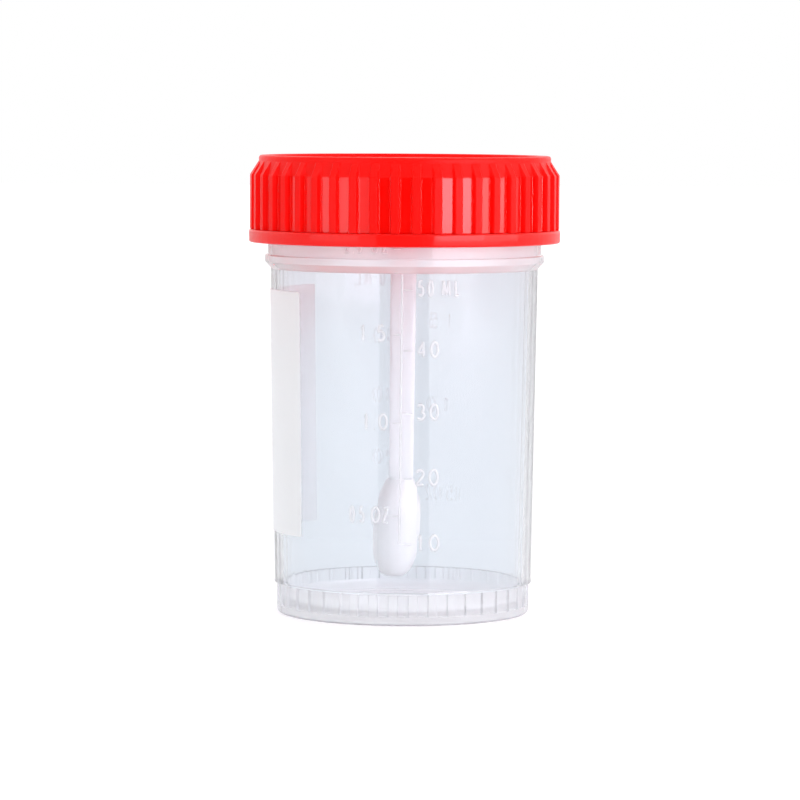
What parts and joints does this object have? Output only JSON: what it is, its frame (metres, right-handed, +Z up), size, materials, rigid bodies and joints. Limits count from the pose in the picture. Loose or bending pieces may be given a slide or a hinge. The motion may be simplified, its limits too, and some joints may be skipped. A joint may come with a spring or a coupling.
{
  "type": "specimen container",
  "caption": "Clear straight-sided plastic sample cup with a ribbed screw lid, a small spoon hung from the lid inside, and a blank label on the side.",
  "frame": {"origin": "centre of the base, on the plane that the foot ring stands on", "axes": "+Z up along the cup's axis towards the lid, -Y the front with the volume scale, -X the side with the label"},
  "size_m": [0.0469, 0.0468, 0.069],
  "materials": {
    "clear_plastic": "clear, slightly cloudy polypropylene, smooth",
    "red_plastic": "red polypropylene, glossy",
    "white_plastic": "natural white polystyrene, satin",
    "paper": "white adhesive paper, matt, bare"
  },
  "bodies": {
    "container": {"cup": "clear_plastic", "label": "paper"},
    "spoon": {"spoon": "white_plastic"},
    "lid": {"lid": "red_plastic"}
  },
  "joints": [
    {"name": "lid_lift", "type": "slide", "parent": "container", "child": "spoon", "axis": [0, 0, 1], "range_m": [0, 0.066]},
    {"name": "lid_turn", "type": "hinge", "parent": "spoon", "child": "lid", "pos_m": [0, 0, 0.0655], "axis": [0, 0, 1], "range_deg": [0, 450]}
  ]
}
